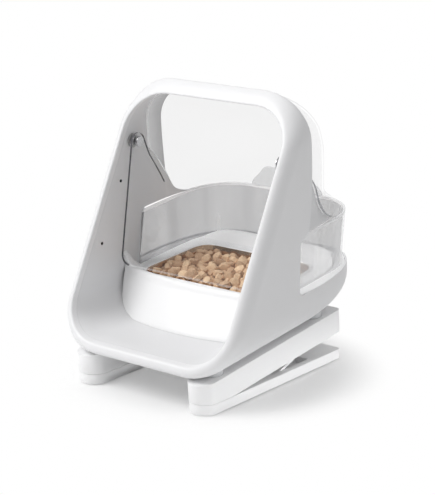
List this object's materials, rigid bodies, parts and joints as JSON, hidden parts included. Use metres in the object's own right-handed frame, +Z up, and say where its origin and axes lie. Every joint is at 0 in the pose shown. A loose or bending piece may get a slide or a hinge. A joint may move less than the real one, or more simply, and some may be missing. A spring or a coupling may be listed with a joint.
{
  "type": "microchip pet feeder",
  "caption": "Free-standing pet feeder with a leaning open front, a steel bowl under a clear powered lid, a clear hood and folding risers.",
  "frame": {"origin": "centre of the bounding box at ground level", "axes": "+Z up, the pet comes from -Y, +X to the right seen from the front"},
  "size_m": [0.24, 0.2782, 0.3216],
  "materials": {
    "white_plastic": "satin",
    "clear_plastic": "clear, polished",
    "bowl_steel": "brushed",
    "dry_food": "dull, stands for dry food",
    "grey_plastic": "matte",
    "brass": "satin",
    "plated_steel": "plated",
    "cell_jacket": "smooth",
    "coil_wire": "enamelled wire",
    "circuit_board": "solder mask",
    "black_plastic": "dark window",
    "rubber_pad": "matte"
  },
  "bodies": {
    "feeder_body": {"outer_shell": "white_plastic", "inner_liner": "white_plastic", "bowl_housing": "white_plastic", "food_bowl": "bowl_steel", "kibble_bed": "dry_food", "rear_guard": "clear_plastic", "lid_motor": "plated_steel", "motor_screw_1": "plated_steel", "motor_screw_2": "plated_steel", "antenna_coil": "coil_wire", "main_board": "circuit_board", "board_screw_left": "plated_steel", "board_screw_right": "plated_steel", "base_plate": "white_plastic", "base_screw_front_left": "plated_steel", "base_screw_front_right": "plated_steel", "base_screw_rear_left": "plated_steel", "base_screw_rear_right": "plated_steel", "battery_tray": "grey_plastic", "battery_cell_1": "cell_jacket", "battery_cell_2": "cell_jacket", "battery_cell_3": "cell_jacket", "battery_cell_4": "cell_jacket", "battery_contact_front": "plated_steel", "battery_contact_rear": "plated_steel", "button_board": "circuit_board", "status_lens": "clear_plastic", "pivot_bush_left": "grey_plastic", "ir_window_left_upper": "black_plastic", "ir_window_left_lower": "black_plastic", "riser_upper_left": "white_plastic", "riser_hinge_pin_left": "plated_steel", "riser_pad_left_front": "rubber_pad", "riser_pad_left_rear": "rubber_pad", "pivot_bush_right": "grey_plastic", "ir_window_right_upper": "black_plastic", "ir_window_right_lower": "black_plastic", "riser_upper_right": "white_plastic", "riser_hinge_pin_right": "plated_steel", "riser_pad_right_front": "rubber_pad", "riser_pad_right_rear": "rubber_pad"},
    "lid": {"swing_lid": "clear_plastic", "pivot_pin_left": "plated_steel", "pivot_pin_right": "plated_steel", "drive_gear": "grey_plastic"},
    "pinion": {"motor_pinion": "brass"},
    "hood": {"rear_hood": "clear_plastic"},
    "door": {"battery_door": "white_plastic"},
    "button": {"pairing_button": "grey_plastic"},
    "lower_arm_left": {"riser_lower_left": "white_plastic", "prop_pin_left": "plated_steel", "foot_pad_left_front": "rubber_pad", "foot_pad_left_rear": "rubber_pad"},
    "lower_arm_right": {"riser_lower_right": "white_plastic", "prop_pin_right": "plated_steel", "foot_pad_right_front": "rubber_pad", "foot_pad_right_rear": "rubber_pad"},
    "prop_left": {"riser_prop_left": "white_plastic"},
    "prop_right": {"riser_prop_right": "white_plastic"}
  },
  "joints": [
    {"name": "lid_swing", "type": "hinge", "parent": "feeder_body", "child": "lid", "pos_m": [0, -0.01585, 0.24971], "axis": [1, 0, 0], "range_deg": [0, 34]},
    {"name": "pinion_spin", "type": "hinge", "parent": "feeder_body", "child": "pinion", "pos_m": [0.1117, -0.00314, 0.22365], "axis": [1, 0, 0], "range_deg": [-164.2, 0]},
    {"name": "hood_lift", "type": "slide", "parent": "feeder_body", "child": "hood", "axis": [0, -0.1042, 0.9946], "range_m": [0, 0.06]},
    {"name": "door_drop", "type": "slide", "parent": "feeder_body", "child": "door", "axis": [0, 0.1042, -0.9946], "range_m": [0, 0.02]},
    {"name": "button_press", "type": "slide", "parent": "feeder_body", "child": "button", "axis": [0, -0.9946, -0.1042], "range_m": [0, 0.0015], "stiffness_N_per_m": 300},
    {"name": "fold_left", "type": "hinge", "parent": "feeder_body", "child": "lower_arm_left", "pos_m": [0, -0.08992, 0.01623], "axis": [1, 0, 0], "range_deg": [0, 5.98]},
    {"name": "prop_left_drop", "type": "hinge", "parent": "lower_arm_left", "child": "prop_left", "pos_m": [0, -0.00536, 0.00893], "axis": [1, 0, 0], "range_deg": [-19.06, 0]},
    {"name": "fold_right", "type": "hinge", "parent": "feeder_body", "child": "lower_arm_right", "pos_m": [0, -0.08992, 0.01623], "axis": [1, 0, 0], "range_deg": [0, 5.98]},
    {"name": "prop_right_drop", "type": "hinge", "parent": "lower_arm_right", "child": "prop_right", "pos_m": [0, -0.00536, 0.00893], "axis": [1, 0, 0], "range_deg": [-19.06, 0]}
  ],
  "couplings": [
    {"joint": "pinion_spin", "follows": "lid_swing", "ratio": -4.8},
    {"joint": "prop_left_drop", "follows": "fold_left", "ratio": -3.1784},
    {"joint": "prop_right_drop", "follows": "fold_right", "ratio": -3.1784}
  ]
}
